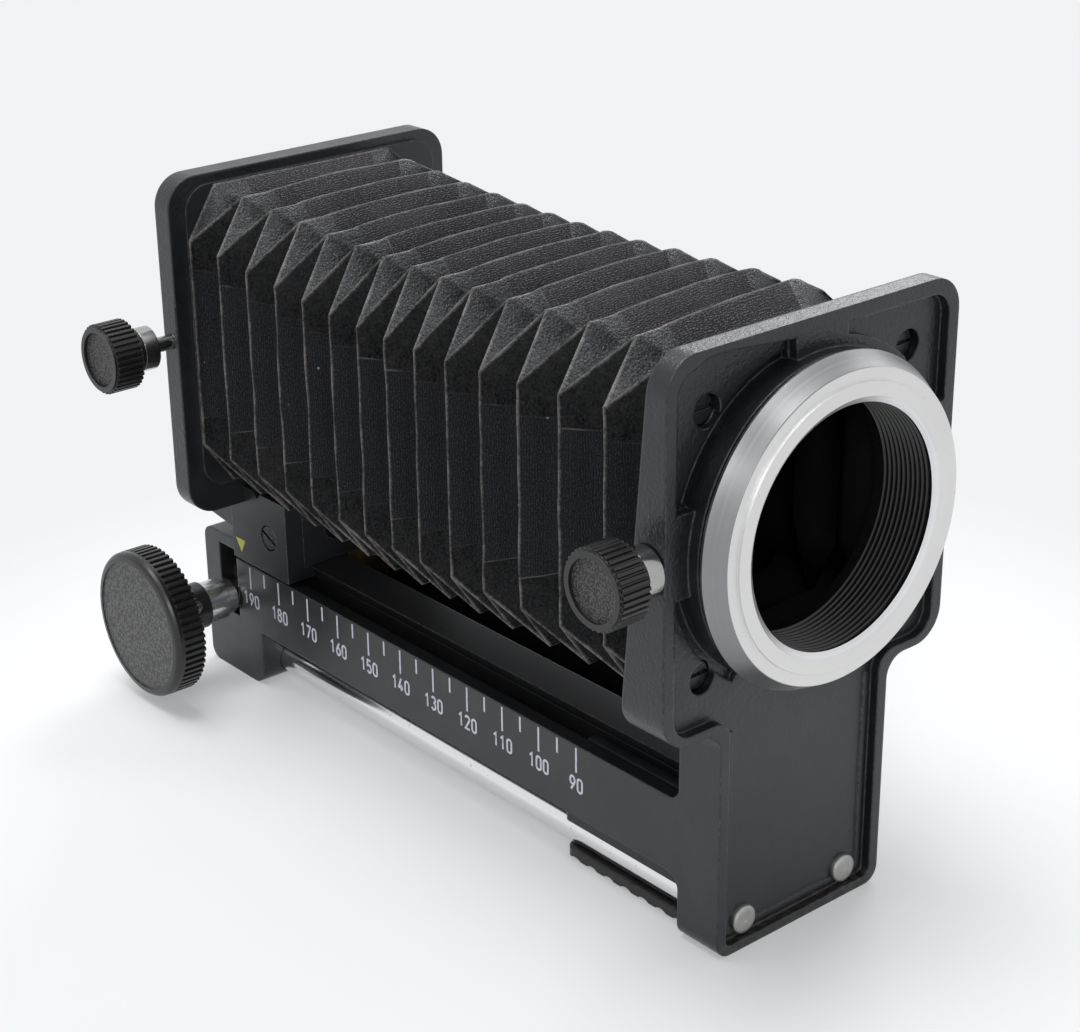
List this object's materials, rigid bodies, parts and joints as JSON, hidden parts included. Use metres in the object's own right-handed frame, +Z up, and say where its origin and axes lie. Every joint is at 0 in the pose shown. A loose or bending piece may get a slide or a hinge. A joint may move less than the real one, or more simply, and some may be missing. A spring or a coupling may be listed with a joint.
{
  "type": "macro bellows unit",
  "caption": "Macro bellows unit: a fixed lens standard on a rail base, a knob-driven carriage with the camera standard, and a pleated black bellows between them.",
  "frame": {"origin": "on the optical axis, at the front face of the lens ring, where a lens seats", "axes": "+Y back along the optical axis from the lens to the camera, +Z up, +X to the right seen from the front looking back; the scale and the knobs are on the -X side"},
  "size_m": [0.0807, 0.1653, 0.1081],
  "materials": {
    "casting_black": "black textured paint, semi-matt, bare at the sharpest edges",
    "anodised_black": "satin black anodised aluminium",
    "bright_aluminium": "turned, fine circular marks",
    "polished_steel": "ground and polished",
    "brass": "machined, slightly dull",
    "bellows_cloth": "rubberised woven cloth, slight sheen",
    "knob_black": "black, knurled rim and grained face",
    "scale_white": "white filled marks",
    "index_yellow": "yellow filled mark"
  },
  "bodies": {
    "base": {"base_casting": "casting_black", "guide_rails": "anodised_black", "rail_screws": "polished_steel", "foot_rods": "polished_steel", "front_bush": "brass", "rear_bush": "brass", "shaft_bush": "brass", "scale_marks": "scale_white", "front_frame_screws": "anodised_black", "bellows_front_frame": "anodised_black", "bellows": "bellows_cloth"},
    "carriage": {"carriage_block": "anodised_black", "index_cheek": "anodised_black", "cheek_screw": "polished_steel", "index_mark": "index_yellow", "drive_nut": "brass", "nut_screws": "polished_steel", "rear_standard": "casting_black", "standard_screws": "polished_steel", "bellows_rear_frame": "anodised_black", "rear_frame_screws": "anodised_black"},
    "lens_ring": {"lens_ring": "bright_aluminium"},
    "camera_ring": {"camera_ring": "bright_aluminium", "ring_retainer": "anodised_black"},
    "lead_screw": {"lead_screw": "polished_steel", "screw_gear": "brass"},
    "drive_knob": {"drive_shaft": "polished_steel", "shaft_gear": "brass", "drive_knob": "knob_black", "knob_grub_screw": "polished_steel"},
    "front_lock": {"front_lock_knob": "knob_black", "front_lock_stem": "polished_steel"},
    "rear_lock": {"rear_lock_knob": "knob_black", "rear_lock_stem": "polished_steel"},
    "tripod_foot": {"foot_block": "casting_black", "foot_jaw": "casting_black", "foot_screws": "polished_steel", "tripod_insert": "brass"}
  },
  "joints": [
    {"name": "carriage_slide", "type": "slide", "parent": "base", "child": "carriage", "axis": [0, -1, 0], "range_m": [0, 0.1015], "deforming": ["bellows"]},
    {"name": "lead_screw_turn", "type": "hinge", "parent": "base", "child": "lead_screw", "pos_m": [0, 0.08, -0.0576], "axis": [0, 1, 0], "range_deg": [0, 3655]},
    {"name": "drive_knob_turn", "type": "hinge", "parent": "base", "child": "drive_knob", "pos_m": [-0.02, 0.1502, -0.0576], "axis": [-1, 0, 0], "range_deg": [0, 3655]},
    {"name": "lens_ring_turn", "type": "hinge", "parent": "base", "child": "lens_ring", "pos_m": [0, 0.005, 0], "axis": [0, 1, 0], "continuous": true},
    {"name": "camera_ring_turn", "type": "hinge", "parent": "carriage", "child": "camera_ring", "pos_m": [0, 0.145, 0], "axis": [0, 1, 0], "continuous": true},
    {"name": "front_lock_turn", "type": "hinge", "parent": "base", "child": "front_lock", "pos_m": [-0.037, 0.0112, -0.0008], "axis": [1, 0, 0], "range_deg": [-720, 0]},
    {"name": "rear_lock_turn", "type": "hinge", "parent": "carriage", "child": "rear_lock", "pos_m": [-0.041, 0.1446, 0.0016], "axis": [1, 0, 0], "range_deg": [-360, 3240]},
    {"name": "foot_slide", "type": "slide", "parent": "base", "child": "tripod_foot", "axis": [0, 1, 0], "range_m": [-0.0009, 0.0893]}
  ],
  "couplings": [
    {"joint": "lead_screw_turn", "follows": "carriage_slide", "rad_per_m": 628.32},
    {"joint": "drive_knob_turn", "follows": "carriage_slide", "rad_per_m": 628.32}
  ]
}
